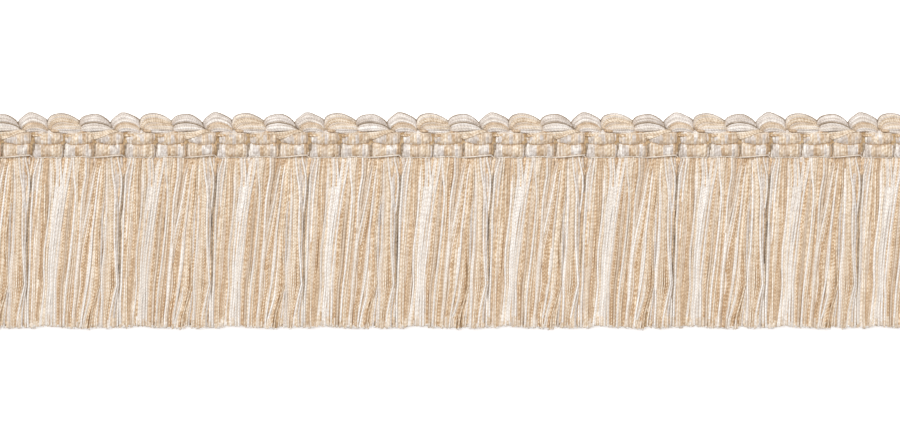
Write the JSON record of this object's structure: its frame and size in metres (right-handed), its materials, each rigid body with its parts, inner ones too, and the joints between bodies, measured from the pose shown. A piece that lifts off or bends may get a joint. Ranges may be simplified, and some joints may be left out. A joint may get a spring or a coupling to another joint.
{
  "type": "moss fringe",
  "caption": "Cut length of moss fringe: a woven heading of puffed heads with a looped upper edge, thin binding threads and a brush of cut yarns, lying on its back.",
  "frame": {"origin": "middle of the woven heading's flat back, on the surface that the trimming lies on", "axes": "+X along the trimming to the right as its face is seen, +Y from the cut ends to the looped edge, +Z out of the face"},
  "size_m": [0.2244, 0.0502, 0.0046],
  "materials": {
    "heading_yarn": "matt twisted yarns in white, cream, beige and tan",
    "loop_yarn": "matt twisted yarns in white, cream and beige",
    "binding_thread": "thin twisted thread with a slight sheen",
    "brush_yarn": "matt twisted yarns in white, cream, beige and tan, cut at the ends"
  },
  "bodies": {
    "root": {"heading": "heading_yarn", "loop_edge": "loop_yarn", "binding_thread_upper": "binding_thread", "binding_thread_middle": "binding_thread", "binding_thread_lower": "binding_thread", "brush_skirt": "brush_yarn"}
  },
  "joints": []
}
